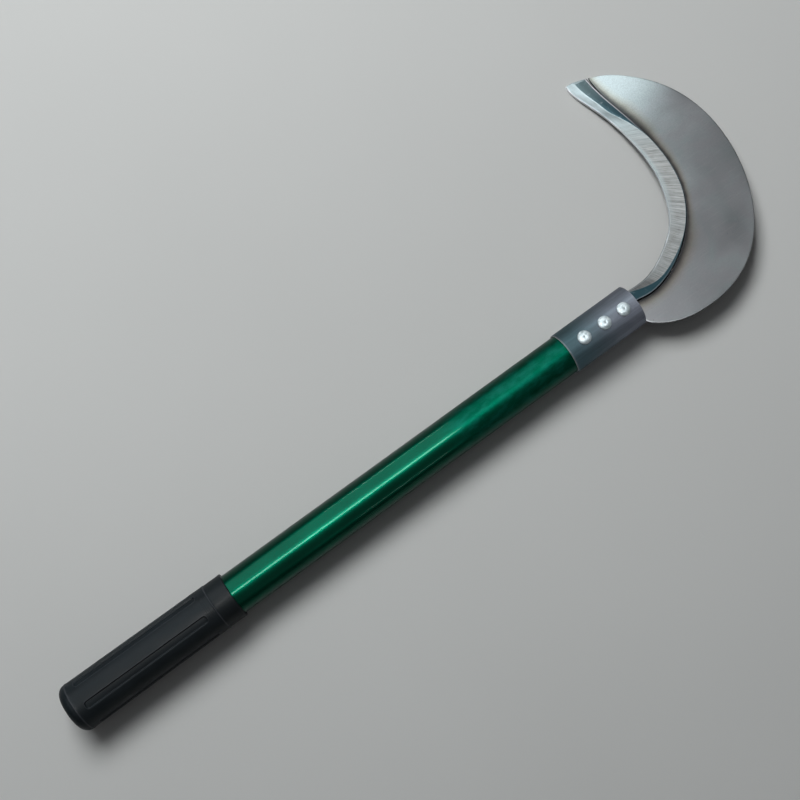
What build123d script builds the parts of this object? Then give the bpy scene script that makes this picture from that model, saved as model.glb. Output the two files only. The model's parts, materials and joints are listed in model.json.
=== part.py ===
from build123d import *
import os
from math import asin, cos, degrees, radians, sin

# A sickle lying on a flat surface.
#
# Every piece is first made in tool coordinates: x runs along the handle from the butt, y points to the
# blade tip's side, and z points up through the ground face of the blade.  The handle's axis is the x axis
# and the blade plate is centred on z = 0.  The finished tool is then laid down as it rests on a table: on
# the lip of the grip, the end of the sleeve and the tip of the blade.

# ---------------------------------------------------------------- driving dimensions, millimetres

TUBE_OUTER = 25.0            # outside diameter of the handle tube
TUBE_WALL = 1.2
TUBE_START = 3.0             # the closed end of the grip covers the first few millimetres
TUBE_END = 395.5

SLEEVE_START = 348.0
SLEEVE_END = 399.2
SLEEVE_WALL = 0.7
SLEEVE_CLEARANCE = 0.1       # radial gap between sleeve and tube
SLEEVE_EDGE = 0.15           # broken edges at the cut ends

GRIP_LENGTH = 110.0
GRIP_CLEARANCE = 0.05        # gap between grip and tube
GRIP_BUTT_RADIUS = 14.7
GRIP_NECK_RADIUS = 14.25     # where the tapered body meets the collar
GRIP_DOME = 5.2              # rounding radius of the butt
GRIP_LIP = 0.2               # height of the moulding line around the edge of the dome
COLLAR_START = 98.2
COLLAR_RADIUS = 14.1
COLLAR_EDGE = 0.45           # rounding of the collar's open end
RIDGE_HEIGHT = 0.2           # thin ridge between body and collar
RIDGE_HALF_WIDTH = 0.2
RIDGE_FOOT = 0.5
GROOVE_COUNT = 6
GROOVE_START = 11.2
GROOVE_LENGTH = 80.6
GROOVE_WIDTH = 4.7
GROOVE_DEPTH = 0.8
GROOVE_CORNER = 1.8
GROOVE_TURN = 20.0           # the first groove is turned this far from the top, away from the tip's side

RIVET_STATIONS = (360.4, 375.4, 389.5)
RIVET_TURN = 6.5             # the rivet line is turned this far from the top, away from the tip's side
RIVET_HEAD_RADIUS = 4.2
RIVET_HEAD_HEIGHT = 1.4
RIVET_RIM = 0.3              # thickness of the head at its edge
RIVET_CROWN = 1.12           # height of the dome half way out
RIVET_BODY_RADIUS = 2.0
RIVET_HOLE_RADIUS = 2.05
RIVET_BULB_RADIUS = 3.1      # the set end swells to this behind the walls
RIVET_BULB_START = 0.4
RIVET_BULB_MIDDLE = 1.6
RIVET_TAIL = 6.0             # reach of the set rivet below the head
MANDREL_RADIUS = 1.05
MANDREL_BORE = 1.1
MANDREL_HEAD_RADIUS = 1.8
MANDREL_HEAD_LENGTH = 1.6
MANDREL_HEAD_ROUND = 0.9
MANDREL_GAP = 0.05
MANDREL_RECESS = 0.5         # the broken end lies this far below the top of the head
MANDREL_BREAK = 0.2

PLATE_THICKNESS = 2.0
STRIP_THICKNESS = 3.2        # the undersides of strip and plate are flush
EDGE_LAND = 0.4              # thickness of the strip at its cutting edge
STEEPEST_BEVEL = 0.5         # drop per millimetre of bevel width where the bevel is narrow
SEAM_GAP = 0.15              # between the back of the strip and the plate
TIP_NOTCH = 1.3              # the joint opens by this much at the tip end
NOTCH_REACH = 0.12           # fraction of the joint over which it closes

TANG_START = 371.0
TANG_HALF_WIDTH = 10.9
TANG_SHOULDER = 396.2        # the tang's shoulder stands just clear of the end of the tube
ROOT_HALF_WIDTH = 12.3       # the plate's root fits the bore of the sleeve
STRIP_TAIL = 390.0           # end of the strip's neck, inside the sleeve
TAIL_GAP = 0.4               # between the end of the neck and the tang

SEAM_BEAD_WIDTH = 2.8
SEAM_BEAD_CROWN = 1.54       # width of the bead's flat crown
SEAM_BEAD_HEIGHT = 0.7
SEAM_BEAD_FROM = 0.07        # the bead covers this stretch of the joint, as fractions of its length
SEAM_BEAD_TO = 0.86
SEAM_BEAD_SECTIONS = 15
MOUTH_WELD_LENGTH = 3.6
MOUTH_WELD_CROWN = 0.7
WELD_GAP = 0.03              # keeps weld metal and steel apart as solids
MOUTH_WELD_START = TANG_SHOULDER + 0.1
OUTER_WELD_SECTION = [(-14.0, -1.03), (-8.4, -1.03), (-14.0, -6.0)]
INNER_WELD_SECTION = [(8.35, -1.4), (14.0, -2.2), (14.0, 2.6), (8.35, 1.8)]

# Points on the blade's outlines, tool coordinates, from the tip end towards the handle.
PLATE_OUTER_EDGE = [
    (476.0, 133.7), (484.5, 129.3), (494.0, 121.0), (503.4, 109.8), (511.2, 95.0), (515.8, 76.5),
    (516.0, 57.0), (511.5, 34.0), (502.4, 12.5), (489.3, -5.8), (472.4, -19.2), (455.6, -25.8),
    (437.0, -27.7), (418.0, -25.0), (401.0, -15.0),
]
CUTTING_EDGE = [
    (458.3, 139.6), (458.3, 131.7), (460.8, 121.5), (464.6, 106.8), (467.1, 88.0), (467.1, 72.4),
    (464.4, 54.7), (457.5, 37.7), (447.6, 24.6), (434.7, 15.8), (419.5, 9.4), (406.0, 8.3),
    (STRIP_TAIL, 8.2),
]
STRIP_BACK = [
    (472.0, 134.9), (472.1, 126.0), (473.8, 110.0), (476.2, 92.0), (477.4, 74.0), (475.3, 52.2),
    (468.1, 33.6), (456.6, 19.3), (440.8, 7.3), (425.0, 0.6), (412.5, -1.2), (402.5, 0.2),
    (STRIP_TAIL, 0.4),
]

# Width of the ground bevel at even steps of the strip's length, from the tip end.
BEVEL_WIDTHS = [
    5.5, 5.7, 5.5, 5.3, 9.6, 12.2, 12.7, 12.9, 12.8, 12.5, 11.7, 10.6, 9.5, 8.8, 8.0, 6.7, 3.9, 0.6, 0.5,
]

# ---------------------------------------------------------------- derived sizes

TUBE_RADIUS = TUBE_OUTER / 2
TUBE_BORE = TUBE_RADIUS - TUBE_WALL
SLEEVE_BORE = TUBE_RADIUS + SLEEVE_CLEARANCE
SLEEVE_RADIUS = SLEEVE_BORE + SLEEVE_WALL
RIVETED_WALLS = SLEEVE_WALL + SLEEVE_CLEARANCE + TUBE_WALL
UNDERSIDE = -PLATE_THICKNESS / 2
STRIP_TOP = UNDERSIDE + STRIP_THICKNESS
FULL_DROP = STRIP_THICKNESS - EDGE_LAND
STRIP_SECTIONS = len(BEVEL_WIDTHS)

EDGE_LINE = Spline(*CUTTING_EDGE)
BACK_LINE = Spline(*STRIP_BACK)


# ---------------------------------------------------------------- handle


def ring_section(start, end, inner, outer, corner=0.0):
    """Half section of a tube about the x axis."""
    with BuildSketch(Plane.XZ) as section:
        with Locations(((start + end) / 2, (inner + outer) / 2)):
            Rectangle(end - start, outer - inner)
        if corner:
            chamfer(section.vertices(), corner)
    return section.sketch


def rivet_frame(station):
    """Place on the sleeve where a rivet's head sits, with z pointing out of the sleeve."""
    return Rot(RIVET_TURN, 0, 0) * Pos(station, 0, SLEEVE_RADIUS)


def rivet_holes():
    drill = Cylinder(RIVET_HOLE_RADIUS, 4 * RIVETED_WALLS)
    return Compound([rivet_frame(station) * drill for station in RIVET_STATIONS])


def make_handle_tube():
    """Round tube with three rivet holes under the sleeve."""
    section = ring_section(TUBE_START, TUBE_END, TUBE_BORE, TUBE_RADIUS)
    return revolve(section, Axis.X) - rivet_holes()


def make_socket_sleeve():
    """Short sleeve over the end of the tube, with broken edges and three rivet holes."""
    section = ring_section(SLEEVE_START, SLEEVE_END, SLEEVE_BORE, SLEEVE_RADIUS, SLEEVE_EDGE)
    return revolve(section, Axis.X) - rivet_holes()


def make_rivet():
    """Blind rivet as set: domed head, body through both walls and a bulb behind them."""
    bulb_start = (RIVET_BODY_RADIUS, -RIVETED_WALLS - RIVET_BULB_START)
    bulb_middle = (RIVET_BULB_RADIUS, -RIVETED_WALLS - RIVET_BULB_MIDDLE)
    bulb_end = (RIVET_BODY_RADIUS, -RIVET_TAIL)
    dome_top = (MANDREL_BORE, RIVET_HEAD_HEIGHT)
    dome_middle = ((MANDREL_BORE + RIVET_HEAD_RADIUS) / 2, RIVET_CROWN)
    dome_edge = (RIVET_HEAD_RADIUS, RIVET_RIM)
    with BuildSketch(Plane.XZ) as section:
        with BuildLine():
            ThreePointArc(dome_top, dome_middle, dome_edge)
            Polyline(dome_edge, (RIVET_HEAD_RADIUS, 0), (RIVET_BODY_RADIUS, 0), bulb_start)
            Spline(bulb_start, bulb_middle, bulb_end, tangents=[(1, -0.4), (-0.3, -1)])
            Polyline(bulb_end, (MANDREL_BORE, -RIVET_TAIL), dome_top)
        make_face()
    return revolve(section.sketch, Axis.Z)


def make_mandrel():
    """Broken-off pulling pin that stays inside a set blind rivet."""
    top = RIVET_HEAD_HEIGHT - MANDREL_RECESS
    head_top = -RIVET_TAIL - MANDREL_GAP
    from_top = (Align.CENTER, Align.CENTER, Align.MAX)
    pin = Pos(0, 0, top) * Cylinder(MANDREL_RADIUS, top - head_top, align=from_top)
    pin = pin + Pos(0, 0, head_top) * Cylinder(MANDREL_HEAD_RADIUS, MANDREL_HEAD_LENGTH, align=from_top)
    pin = fillet(pin.edges().sort_by(Axis.Z)[0], MANDREL_HEAD_ROUND)
    return chamfer(pin.edges().sort_by(Axis.Z)[-1], MANDREL_BREAK)


# ---------------------------------------------------------------- grip


def grip_outline():
    """Points of the grip's outside from the edge of the dome to the open end."""
    lip = GRIP_DOME + GRIP_LIP
    return [
        (GRIP_DOME, GRIP_BUTT_RADIUS),
        (lip, GRIP_BUTT_RADIUS + GRIP_LIP),
        (lip + 3 * GRIP_LIP, GRIP_BUTT_RADIUS + GRIP_LIP),
        (lip + 5 * GRIP_LIP, GRIP_BUTT_RADIUS),
        (COLLAR_START - RIDGE_FOOT, GRIP_NECK_RADIUS),
        (COLLAR_START - RIDGE_HALF_WIDTH, GRIP_NECK_RADIUS + RIDGE_HEIGHT),
        (COLLAR_START + RIDGE_HALF_WIDTH, GRIP_NECK_RADIUS + RIDGE_HEIGHT),
        (COLLAR_START + RIDGE_FOOT, COLLAR_RADIUS),
        (GRIP_LENGTH - COLLAR_EDGE, COLLAR_RADIUS),
        (GRIP_LENGTH, COLLAR_RADIUS - COLLAR_EDGE),
    ]


def make_grip():
    """Moulded grip: domed closed butt, tapered body with grooves, thin ridge and plain collar."""
    bore = TUBE_RADIUS + GRIP_CLEARANCE
    bore_end = TUBE_START - GRIP_CLEARANCE
    flat = GRIP_BUTT_RADIUS - GRIP_DOME
    arc_middle = (GRIP_DOME * (1 - sin(radians(45))), flat + GRIP_DOME * cos(radians(45)))
    outside = grip_outline()
    with BuildSketch(Plane.XZ) as section:
        with BuildLine():
            ThreePointArc((0, flat), arc_middle, outside[0])
            Polyline(*outside, (GRIP_LENGTH, bore), (bore_end, bore), (bore_end, 0), (0, 0), (0, flat))
        make_face()
    return revolve(section.sketch, Axis.X) - groove_cutters()


def groove_cutters():
    """Rounded pockets at equal turns around the body of the grip."""
    middle = GROOVE_START + GROOVE_LENGTH / 2
    floor = (GRIP_BUTT_RADIUS + GRIP_NECK_RADIUS) / 2 - GROOVE_DEPTH
    pocket = extrude(RectangleRounded(GROOVE_LENGTH, GROOVE_WIDTH, GROOVE_CORNER), 3 * GROOVE_DEPTH)
    cutters = []
    for index in range(GROOVE_COUNT):
        turn = GROOVE_TURN + index * 360 / GROOVE_COUNT
        cutters.append(Rot(turn, 0, 0) * Pos(middle, 0, floor) * pocket)
    return Compound(cutters)


# ---------------------------------------------------------------- blade


def beside_back(fraction, distance):
    """Point on the plate's side of the strip's back line, at a distance from it."""
    along = BACK_LINE % fraction
    outward = Vector(-along.Y, along.X, 0)
    return (BACK_LINE @ fraction) + outward * distance


def joint_gap(fraction):
    """Width of the joint between strip and plate, which opens towards the tip."""
    return SEAM_GAP + TIP_NOTCH * max(0.0, 1 - fraction / NOTCH_REACH) ** 2


def strip_section(fraction, bevel):
    """Section across the strip: land at the cutting edge, ground bevel, top, back and underside."""
    edge = EDGE_LINE @ fraction
    back = BACK_LINE @ fraction
    heel = edge + (back - edge).normalized() * bevel
    drop = min(FULL_DROP, STEEPEST_BEVEL * bevel)
    corners = [
        Vector(edge.X, edge.Y, UNDERSIDE),
        Vector(edge.X, edge.Y, STRIP_TOP - drop),
        Vector(heel.X, heel.Y, STRIP_TOP),
        Vector(back.X, back.Y, STRIP_TOP),
        Vector(back.X, back.Y, UNDERSIDE),
    ]
    return Wire.make_polygon(corners, close=True)


def make_cutting_strip():
    """Thick strip with a ground bevel that runs out to full thickness at the neck."""
    last = STRIP_SECTIONS - 1
    sections = [strip_section(index / last, bevel) for index, bevel in enumerate(BEVEL_WIDTHS)]
    return Solid.make_loft(sections, ruled=False)


def make_blade_plate():
    """Crescent of sheet with a shouldered tang that enters the bore of the tube."""
    last = STRIP_SECTIONS - 1
    inner = [beside_back(index / last, joint_gap(index / last)) for index in range(last)]
    notch_x = STRIP_TAIL - TAIL_GAP
    notch_y = inner[-1].Y - SEAM_GAP
    with BuildSketch() as outline:
        with BuildLine():
            Spline(*PLATE_OUTER_EDGE)
            Polyline(
                PLATE_OUTER_EDGE[-1],
                (SLEEVE_END, -ROOT_HALF_WIDTH),
                (TANG_SHOULDER, -ROOT_HALF_WIDTH),
                (TANG_SHOULDER, -TANG_HALF_WIDTH),
                (TANG_START, -TANG_HALF_WIDTH),
                (TANG_START, TANG_HALF_WIDTH),
                (notch_x, TANG_HALF_WIDTH),
                (notch_x, notch_y),
                (TANG_SHOULDER, notch_y),
                inner[-1],
            )
            Spline(*reversed(inner))
            Line(inner[0], PLATE_OUTER_EDGE[0])
        make_face()
    return Pos(0, 0, UNDERSIDE) * extrude(outline.sketch, PLATE_THICKNESS)


# ---------------------------------------------------------------- welds


def bead_section(fraction):
    """Section of the seam weld: a low trapezium under the joint."""
    foot = SEAM_BEAD_WIDTH / 2
    crown = SEAM_BEAD_CROWN / 2
    profile = [(-foot, 0), (foot, 0), (crown, -SEAM_BEAD_HEIGHT), (-crown, -SEAM_BEAD_HEIGHT)]
    corners = []
    for across, down in profile:
        point = beside_back(fraction, across)
        corners.append(Vector(point.X, point.Y, UNDERSIDE + down))
    return Wire.make_polygon(corners, close=True)


def make_seam_weld():
    """Low bead along the underside of the joint between strip and plate."""
    reach = SEAM_BEAD_TO - SEAM_BEAD_FROM
    last = SEAM_BEAD_SECTIONS - 1
    sections = [bead_section(SEAM_BEAD_FROM + reach * index / last) for index in range(SEAM_BEAD_SECTIONS)]
    return Solid.make_loft(sections, ruled=False)


def make_mouth_weld(corners):
    """Weld metal in the mouth of the sleeve, between a piece of the blade and the sleeve's wall.

    The corners are (y, z) places in the sleeve's section, and the sleeve's bore trims them.
    """
    with BuildSketch(Plane.YZ) as section:
        with BuildLine():
            Polyline(*corners, close=True)
        make_face()
        Circle(SLEEVE_BORE - WELD_GAP, mode=Mode.INTERSECT)
    weld = extrude(section.sketch, MOUTH_WELD_LENGTH)
    front = weld.faces().sort_by(Axis.X)[-1]
    return Pos(MOUTH_WELD_START, 0, 0) * chamfer(front.edges(), MOUTH_WELD_CROWN)


# ---------------------------------------------------------------- rest pose


def rest_location():
    """Turn that lays the tool on its grip lip, its sleeve end and its blade tip."""
    lip_radius = GRIP_BUTT_RADIUS + GRIP_LIP
    pitch = asin((lip_radius - SLEEVE_RADIUS) / (SLEEVE_END - GRIP_DOME))
    tip_x, tip_y = CUTTING_EDGE[0]
    axis_height = SLEEVE_RADIUS - (tip_x - SLEEVE_END) * sin(pitch)
    roll = asin((axis_height + UNDERSIDE) / tip_y)
    return Rot(0, degrees(pitch), 0) * Rot(-degrees(roll), 0, 0)


pieces = {
    "handle_tube": make_handle_tube(),
    "socket_sleeve": make_socket_sleeve(),
    "grip": make_grip(),
    "blade_plate": make_blade_plate(),
    "cutting_strip": make_cutting_strip(),
    "seam_weld": make_seam_weld(),
    "mouth_weld_outer": make_mouth_weld(OUTER_WELD_SECTION),
    "mouth_weld_inner": make_mouth_weld(INNER_WELD_SECTION),
}
for number, station in enumerate(RIVET_STATIONS, start=1):
    pieces[f"rivet_{number}"] = rivet_frame(station) * make_rivet()
    pieces[f"rivet_{number}_mandrel"] = rivet_frame(station) * make_mandrel()

laid = {name: rest_location() * piece for name, piece in pieces.items()}
box = Compound(list(laid.values())).bounding_box()
to_origin = Pos(-(box.min.X + box.max.X) / 2, -(box.min.Y + box.max.Y) / 2, -box.min.Z)

os.makedirs("parts", exist_ok=True)
for name, piece in laid.items():
    export_step(to_origin * piece, f"parts/{name}.step")

print("size", box.size)
print("tool origin", to_origin.position)
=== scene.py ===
import json
from math import asin, cos, pi, radians, sin

import bmesh
import bpy
import numpy as np
from mathutils import Matrix, Vector
from mathutils.geometry import delaunay_2d_cdt


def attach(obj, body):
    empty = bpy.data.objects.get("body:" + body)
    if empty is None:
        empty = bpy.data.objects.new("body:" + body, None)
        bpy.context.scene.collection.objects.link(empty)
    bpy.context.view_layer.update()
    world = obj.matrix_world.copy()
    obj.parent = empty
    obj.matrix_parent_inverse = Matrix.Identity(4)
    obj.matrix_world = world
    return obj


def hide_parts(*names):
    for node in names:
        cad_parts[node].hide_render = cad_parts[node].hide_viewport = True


# Looks of a sickle lying on a pale floor.
#
# Every piece is shaped in tool coordinates, in millimetres: x along the handle from the butt, y to the
# blade tip's side, z up through the ground face of the blade, with the handle's axis as the x axis.
# tool_to_frame() then lays it where the CAD parts lie.

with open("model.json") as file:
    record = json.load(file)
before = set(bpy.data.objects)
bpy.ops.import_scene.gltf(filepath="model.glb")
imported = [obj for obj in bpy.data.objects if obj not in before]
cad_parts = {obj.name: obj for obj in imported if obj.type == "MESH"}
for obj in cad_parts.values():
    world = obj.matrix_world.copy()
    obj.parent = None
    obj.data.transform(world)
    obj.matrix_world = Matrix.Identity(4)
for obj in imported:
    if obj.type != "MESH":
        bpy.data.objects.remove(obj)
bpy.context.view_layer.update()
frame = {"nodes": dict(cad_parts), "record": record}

MM = 0.001
SEED = 7

# ---------- sizes of the tool, millimetres

TUBE_RADIUS = 12.5
TUBE_BORE = 11.3
TUBE_START, TUBE_END = 3.0, 395.5
SLEEVE_START, SLEEVE_END = 348.0, 399.2
SLEEVE_BORE, SLEEVE_RADIUS = 12.6, 13.3
GRIP_LENGTH = 110.0
GRIP_BUTT_RADIUS, GRIP_NECK_RADIUS = 14.7, 14.25
GRIP_DOME, GRIP_LIP = 5.2, 0.2
COLLAR_START, COLLAR_RADIUS = 98.2, 14.1
GROOVE_START, GROOVE_LENGTH = 11.2, 80.6
GROOVE_WIDTH, GROOVE_DEPTH, GROOVE_CORNER = 4.7, 0.8, 1.8
GROOVE_TURNS = [20 + 60 * k for k in range(6)]
RIVET_STATIONS = (360.4, 375.4, 389.5)
RIVET_TURN = 6.5
RIVET_RADIUS, RIVET_HEIGHT, RIVET_BORE = 4.2, 1.4, 1.1
UNDERSIDE, PLATE_TOP, STRIP_TOP = -1.0, 1.0, 2.2
STRIP_THICKNESS, EDGE_LAND, STEEPEST_BEVEL = 3.2, 0.4, 0.5
HONE_WIDTH, HONE_DEPTH, HONE_FADE = 0.9, 0.33, 0.12
RIM_BAND, TIP_CORNER = 0.35, 0.6
SEAM_GAP, TIP_NOTCH, NOTCH_REACH = 0.15, 1.3, 0.12
TANG_START, TANG_HALF_WIDTH, TANG_SHOULDER = 371.0, 10.9, 396.2
ROOT_HALF_WIDTH, STRIP_TAIL, TAIL_GAP = 12.3, 390.0, 0.4
PLATE_ROUNDING, PLATE_WARP = 0.25, 0.06

# Lines of the blade seen square to its ground face, from the tip to the handle.
PLATE_OUTER_EDGE = [
    (476.0, 133.7), (484.5, 129.3), (494.0, 121.0), (503.4, 109.8), (511.2, 95.0), (515.8, 76.5),
    (516.0, 57.0), (511.5, 34.0), (502.4, 12.5), (489.3, -5.8), (472.4, -19.2), (455.6, -25.8),
    (437.0, -27.7), (418.0, -25.0), (401.0, -15.0),
]
CUTTING_EDGE = [
    (458.3, 139.6), (458.3, 131.7), (460.8, 121.5), (464.6, 106.8), (467.1, 88.0), (467.1, 72.4),
    (464.4, 54.7), (457.5, 37.7), (447.6, 24.6), (434.7, 15.8), (419.5, 9.4), (406.0, 8.3),
    (STRIP_TAIL, 8.2),
]
STRIP_BACK = [
    (472.0, 134.9), (472.1, 126.0), (473.8, 110.0), (476.2, 92.0), (477.4, 74.0), (475.3, 52.2),
    (468.1, 33.6), (456.6, 19.3), (440.8, 7.3), (425.0, 0.6), (412.5, -1.2), (402.5, 0.2),
    (STRIP_TAIL, 0.4),
]
# Width of the ground bevel at even steps from the tip to the tail.
BEVEL_WIDTHS = [
    5.5, 5.7, 5.5, 5.3, 9.6, 12.2, 12.7, 12.9, 12.8, 12.5, 11.7, 10.6, 9.5, 8.8, 8.0, 6.7, 3.9, 0.6, 0.5,
]

# How fast the border of burn and painted shade beside the joint fades, at distances y from the handle's
# axis.
SOOT_AND_SHADE_FADE = [
    (-2, 0.9), (2, 0.78), (6, 0.78), (12, 0.8), (20, 1.2), (30, 1.7), (45, 1.6), (60, 1.25), (75, 1.15),
    (85, 0.8), (105, 0.7), (118, 1.0), (130, 1.1),
]

# What is left of the steel's colour across the border beside the joint, from the joint (0) to its outside
# (1): partly burn tint, partly painted shade of the strip's raised step.
BURN_AND_SHADE_REACH = 8.0
BURN_AND_SHADE_BORDER = [
    (0.0, (0.06, 0.055, 0.055)), (0.1, (0.15, 0.14, 0.14)), (0.2, (0.28, 0.255, 0.23)),
    (0.3, (0.48, 0.425, 0.375)), (0.4, (0.71, 0.64, 0.565)), (0.5, (0.85, 0.78, 0.70)),
    (0.62, (0.93, 0.885, 0.83)), (0.8, (1.0, 0.97, 0.94)), (1.0, (1.0, 1.0, 1.0)),
]

# Middle of the pale patch near the blade's tip, a painted reflection of the soft light, and the distances
# between which it fades.
GLARE_MIDDLE, GLARE_INNER, GLARE_OUTER = (486.0, 129.0), 5.0, 62.0


# ---------- where the tool lies


def tool_to_frame():
    """Matrix from tool millimetres to frame metres: butt at its mount, laid on lip, sleeve end and tip."""
    mounts = {mount["name"]: mount for mount in frame["record"]["mounts"]}
    butt = Vector(mounts["butt_face"]["pos_m"])
    pitch = asin((GRIP_BUTT_RADIUS + GRIP_LIP - SLEEVE_RADIUS) / (SLEEVE_END - GRIP_DOME))
    tip_x, tip_y = CUTTING_EDGE[0]
    roll = asin((SLEEVE_RADIUS - (tip_x - SLEEVE_END) * sin(pitch) + UNDERSIDE) / tip_y)
    turn = Matrix.Rotation(pitch, 4, "Y") @ Matrix.Rotation(-roll, 4, "X")
    return Matrix.Translation(butt) @ turn @ Matrix.Scale(MM, 4)


TO_FRAME = tool_to_frame()


def end_slope(knots, points):
    """Slope at the first knot of the cubic through the first four points."""
    return np.polyfit(knots[:4] - knots[0], points[:4], 3)[-2]


def travelled(points):
    """Length along a polyline at each of its points."""
    steps = np.linalg.norm(np.diff(points, axis=0), axis=1)
    return np.concatenate([[0.0], np.cumsum(steps)])


def unit(ways):
    return ways / np.linalg.norm(ways, axis=-1, keepdims=True)


def cubic(s, p, q, m, n):
    """From p to q with slopes m and n at the ends, at s from 0 to 1."""
    near = (2 * s**3 - 3 * s**2 + 1) * p + (s**3 - 2 * s**2 + s) * m
    return near + (3 * s**2 - 2 * s**3) * q + (s**3 - s**2) * n


class Curve:
    """Smooth plane curve through points. Its parameter runs from 0 to 1 with the length."""

    def __init__(self, points):
        self.points = np.array(points, float)
        run = travelled(self.points)
        self.knots = run / run[-1]
        self.slopes = self.find_slopes()
        self.lengths = self.places = np.linspace(0, 1, 4001)
        run = travelled(self.at(self.places))
        self.lengths = run / run[-1]

    def find_slopes(self):
        step = np.diff(self.knots)
        rise = np.diff(self.points, axis=0) / step[:, None]
        count = len(self.knots)
        system = np.eye(count)
        known = np.zeros_like(self.points)
        known[0] = end_slope(self.knots, self.points)
        known[-1] = end_slope(self.knots[::-1], self.points[::-1])
        for k in range(1, count - 1):
            system[k, k - 1:k + 2] = step[k], 2 * (step[k - 1] + step[k]), step[k - 1]
            known[k] = 3 * (step[k] * rise[k - 1] + step[k - 1] * rise[k])
        return np.linalg.solve(system, known)

    def span(self, t):
        """Place in the span that holds t, and the span's ends and slopes."""
        t = np.interp(t, self.lengths, self.places)
        k = np.clip(np.searchsorted(self.knots, t, side="right") - 1, 0, len(self.knots) - 2)
        step = (self.knots[k + 1] - self.knots[k])[..., None]
        s = (t - self.knots[k])[..., None] / step
        return s, self.points[k], self.points[k + 1], step * self.slopes[k], step * self.slopes[k + 1]

    def at(self, t):
        return cubic(*self.span(t))

    def along(self, t):
        """Unit tangents."""
        s, p, q, m, n = self.span(t)
        return unit((6 * s**2 - 6 * s) * (p - q) + (3 * s**2 - 4 * s + 1) * m + (3 * s**2 - 2 * s) * n)


EDGE_LINE = Curve(CUTTING_EDGE)
BACK_LINE = Curve(STRIP_BACK)
OUTER_LINE = Curve(PLATE_OUTER_EDGE)


def beside_back(t, distance):
    """Points on the plate's side of the strip's back line, at a distance from it."""
    along = BACK_LINE.along(t)
    outward = np.stack([-along[..., 1], along[..., 0]], axis=-1)
    return BACK_LINE.at(t) + outward * np.asarray(distance)[..., None]


def bevel_width(t):
    """Width of the strip's ground bevel, smooth through the table of widths."""
    table = np.array(BEVEL_WIDTHS)
    slopes = np.gradient(table)
    place = np.asarray(t) * (len(table) - 1)
    k = np.minimum(place.astype(int), len(table) - 2)
    return cubic(place - k, table[k], table[k + 1], slopes[k], slopes[k + 1])


def smooth_step(low, high, value):
    s = np.clip((np.asarray(value, float) - low) / (high - low), 0.0, 1.0)
    return s * s * (3 - 2 * s)


def waves(points, seed, length, count=7):
    """Smooth random undulation from -1 to 1 over points, with features about as long as length."""
    rng = np.random.default_rng(SEED + seed)
    total = np.zeros(len(points))
    for _ in range(count):
        way = rng.normal(size=points.shape[1])
        way *= 2 * pi / (length * rng.uniform(0.8, 1.9) * np.linalg.norm(way))
        total += np.sin(points @ way + rng.uniform(0, 2 * pi))
    return total / count


# ---------- meshes


def new_object(name, data):
    thing = bpy.data.objects.new(name, data)
    bpy.context.scene.collection.objects.link(thing)
    return thing


def make_piece(name, points, faces, material, nodes, values=None, sharp=35.0):
    """Mesh from tool points, with its tool coordinates and other values kept for its material."""
    mesh = bpy.data.meshes.new(name)
    points = np.asarray(points, float)
    placed = [TO_FRAME @ Vector(p) for p in points]
    mesh.from_pydata(placed, [], faces)
    mesh.attributes.new("tool", "FLOAT_VECTOR", "POINT").data.foreach_set("vector", points.ravel())
    for key, value in (values or {}).items():
        kind, field = ("FLOAT", "value") if np.ndim(value) == 1 else ("FLOAT_VECTOR", "vector")
        data = np.ascontiguousarray(value, dtype=np.float32).ravel()
        mesh.attributes.new(key, kind, "POINT").data.foreach_set(field, data)
    mesh.validate()
    tidy_mesh(mesh)
    mesh.shade_smooth()
    mesh.set_sharp_from_angle(angle=radians(sharp))
    mesh.materials.append(material)
    piece = new_object(name, mesh)
    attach(piece, "root")
    if nodes:
        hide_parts(*nodes)
    return piece


def tidy_mesh(mesh):
    """Merges the points that meet at poles and turns all faces outward."""
    work = bmesh.new()
    work.from_mesh(mesh)
    bmesh.ops.remove_doubles(work, verts=work.verts, dist=2e-6)
    bmesh.ops.recalc_face_normals(work, faces=work.faces)
    work.to_mesh(mesh)
    work.free()


def grid_faces(rows, columns, close_rows, close_columns):
    """Quads over a grid of points, joined round in either direction when asked."""
    faces = []
    for i in range(rows if close_rows else rows - 1):
        for j in range(columns if close_columns else columns - 1):
            a, b = i * columns + j, i * columns + (j + 1) % columns
            shift = ((i + 1) % rows - i) * columns
            faces.append((a, b, b + shift, a + shift))
    return faces


def bar_faces(rows, columns):
    """Quads round a bar given by its sections, and a face on each end."""
    last = (rows - 1) * columns
    ends = [tuple(range(columns)), tuple(reversed(range(last, last + columns)))]
    return grid_faces(rows, columns, False, True) + ends


def lathe(profile, angles, closed):
    """Points and faces of a profile of (x, radius) turned about the handle's axis."""
    profile = np.asarray(profile, float)
    x = np.repeat(profile[:, 0], len(angles))
    radius = np.repeat(profile[:, 1], len(angles))
    turn = np.tile(angles, len(profile))
    return x, radius, turn, grid_faces(len(profile), len(angles), closed, True)


def turned(x, radius, turn):
    """Tool points from lathe values. Turn is from the top, positive away from the tip's side."""
    return np.stack([x, -radius * np.sin(turn), radius * np.cos(turn)], axis=1)


def subdivided(corners, longest):
    """The corners of an open polyline with points added so that no step is longer than asked."""
    corners = np.asarray(corners, float)
    out = [corners[0]]
    for a, b in zip(corners[:-1], corners[1:]):
        parts = max(1, int(np.ceil(np.linalg.norm(b - a) / longest)))
        out += [a + (b - a) * k / parts for k in range(1, parts + 1)]
    return np.array(out)


def arc(centre, radius, start, end, parts):
    """Points of an arc in a section, angles in degrees from the x direction."""
    angles = np.radians(np.linspace(start, end, parts + 1))
    return [(centre[0] + radius * cos(a), centre[1] + radius * sin(a)) for a in angles]


# ---------- node materials


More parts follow.
